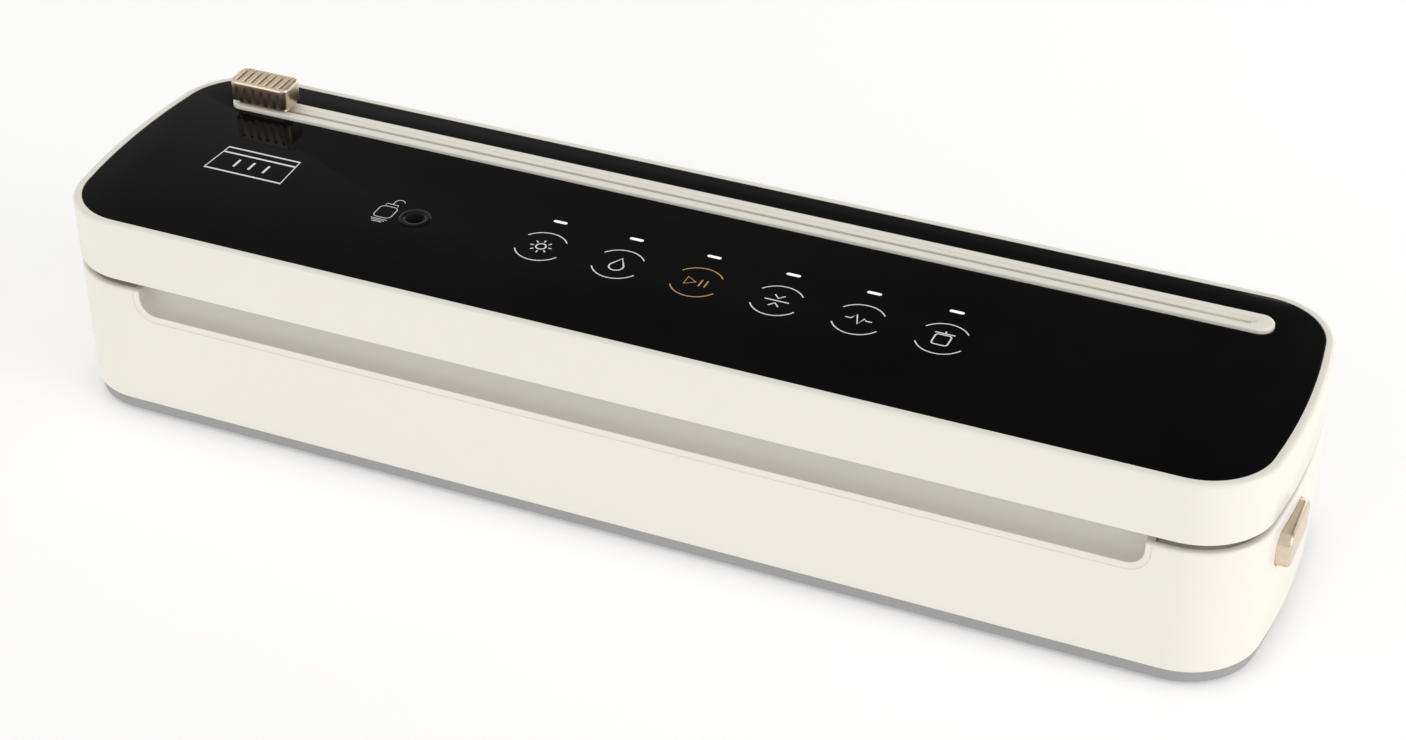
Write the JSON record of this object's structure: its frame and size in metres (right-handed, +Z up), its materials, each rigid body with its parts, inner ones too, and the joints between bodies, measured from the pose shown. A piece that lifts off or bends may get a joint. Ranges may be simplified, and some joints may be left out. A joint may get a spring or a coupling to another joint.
{
  "type": "vacuum sealer",
  "caption": "Countertop vacuum sealer with hinged lid, glass touch panel, bag-cutter rail with sliding blade, end release buttons and front finger recess.",
  "frame": {"origin": "centre of the overall bounding box, on the surface the feet stand on", "axes": "+X to the right along the length, +Y to the rear (hinge side), +Z up; lid closed, cutter at the left end, buttons out"},
  "size_m": [0.3698, 0.0958, 0.0763],
  "materials": {
    "cream_plastic": "satin-gloss ABS",
    "grey_plastic": "fine texture",
    "liner_plastic": "fine texture",
    "tray_plastic": "fine texture",
    "black_plastic": "satin",
    "white_plastic": "smooth acetal",
    "red_plastic": "smooth",
    "black_rubber": "matte",
    "gasket_rubber": "closed-cell foam",
    "silicone_strip": "satin silicone",
    "silicone_hose": "milky silicone",
    "touch_glass": "black back-painted glass, mirror-smooth",
    "bronze_metal": "bronze metallic",
    "screw_steel": "zinc-plated",
    "steel": "drawn",
    "blade_steel": "ground",
    "motor_steel": "drawn can",
    "magnet_iron": "ferrite",
    "rotor_copper": "enamelled windings",
    "cam_brass": "turned",
    "terminal_brass": "stamped",
    "heating_alloy": "rolled ribbon",
    "heater_tape": "glass cloth",
    "heater_bar": "heat-resistant",
    "coil_wrap": "coil tape",
    "circuit_board": "solder mask",
    "transformer_wrap": "polyester tape",
    "capacitor_sleeve": "shrink sleeve",
    "heat_sink_aluminium": "extruded",
    "wire_insulation": "smooth PVC",
    "light_lens": "diffusing"
  },
  "bodies": {
    "base": {"lower_housing": "cream_plastic", "base_plate": "grey_plastic", "base_screws": "screw_steel", "feet": "black_rubber", "deck": "liner_plastic", "drip_tray": "tray_plastic", "lower_gasket": "gasket_rubber", "heater_bar": "heater_bar", "heating_strip": "heating_alloy", "heater_tape": "heater_tape", "heater_terminals": "terminal_brass", "hinge_pin_left": "steel", "hinge_pin_right": "steel", "pump_head": "black_plastic", "pump_diaphragm": "black_rubber", "wobble_plate": "white_plastic", "pump_housing": "black_plastic", "motor_can": "motor_steel", "motor_magnets": "magnet_iron", "pump_sleeve": "black_rubber", "pump_bracket": "grey_plastic", "chamber_hose": "silicone_hose", "valve_coil": "coil_wrap", "valve_frame": "steel", "valve_hose": "silicone_hose", "power_board": "circuit_board", "transformer": "transformer_wrap", "capacitors": "capacitor_sleeve", "heat_sink": "heat_sink_aluminium", "inlet_socket": "black_plastic", "inlet_pins": "terminal_brass", "lid_switch": "black_plastic", "wiring": "wire_insulation", "latch_spring_left": "steel", "latch_spring_right": "steel"},
    "lid": {"lid_shell": "cream_plastic", "touch_panel": "touch_glass", "touch_board": "circuit_board", "indicator_leds": "light_lens", "port_bush": "black_plastic", "lid_liner": "liner_plastic", "upper_gasket": "gasket_rubber", "pressure_strip": "silicone_strip", "lid_screws": "screw_steel", "lid_hook_left": "white_plastic", "lid_hook_right": "white_plastic", "cutter_bed": "cream_plastic", "rail_pivot_pin": "steel"},
    "cutter_rail": {"cutter_rail": "cream_plastic"},
    "cutter": {"cutter_slider": "bronze_metal", "cutter_blade": "blade_steel"},
    "left_button": {"release_button_left": "bronze_metal", "latch_slider_left": "white_plastic"},
    "right_button": {"release_button_right": "bronze_metal", "latch_slider_right": "white_plastic"},
    "pump_rotor": {"motor_rotor": "rotor_copper", "eccentric": "cam_brass"},
    "valve_plunger": {"valve_plunger": "steel"},
    "switch_plunger": {"switch_plunger": "red_plastic"}
  },
  "joints": [
    {"name": "lid_hinge", "type": "hinge", "parent": "base", "child": "lid", "pos_m": [0, 0.0445, 0.04615], "axis": [-1, 0, 0], "range_deg": [0, 60]},
    {"name": "rail_lift", "type": "hinge", "parent": "lid", "child": "cutter_rail", "pos_m": [0.1454, 0.0304, 0.0635], "axis": [0, 1, 0], "range_deg": [0, 15]},
    {"name": "cutter_slide", "type": "slide", "parent": "cutter_rail", "child": "cutter", "axis": [1, 0, 0], "range_m": [0, 0.285]},
    {"name": "left_release", "type": "slide", "parent": "base", "child": "left_button", "axis": [1, 0, 0], "range_m": [0, 0.003], "stiffness_N_per_m": 400, "springref_m": -0.001, "deforming": ["latch_spring_left"]},
    {"name": "right_release", "type": "slide", "parent": "base", "child": "right_button", "axis": [-1, 0, 0], "range_m": [0, 0.003], "stiffness_N_per_m": 400, "springref_m": -0.001, "deforming": ["latch_spring_right"]},
    {"name": "pump_shaft", "type": "hinge", "parent": "base", "child": "pump_rotor", "pos_m": [0.045, 0.028, 0.017], "axis": [1, 0, 0], "continuous": true},
    {"name": "valve_stroke", "type": "slide", "parent": "base", "child": "valve_plunger", "axis": [-1, 0, 0], "range_m": [0, 0.0015], "stiffness_N_per_m": 200, "springref_m": -0.0005},
    {"name": "lid_switch_stroke", "type": "slide", "parent": "base", "child": "switch_plunger", "axis": [0, 0, -1], "range_m": [0, 0.0008], "stiffness_N_per_m": 200, "springref_m": -0.0005}
  ]
}
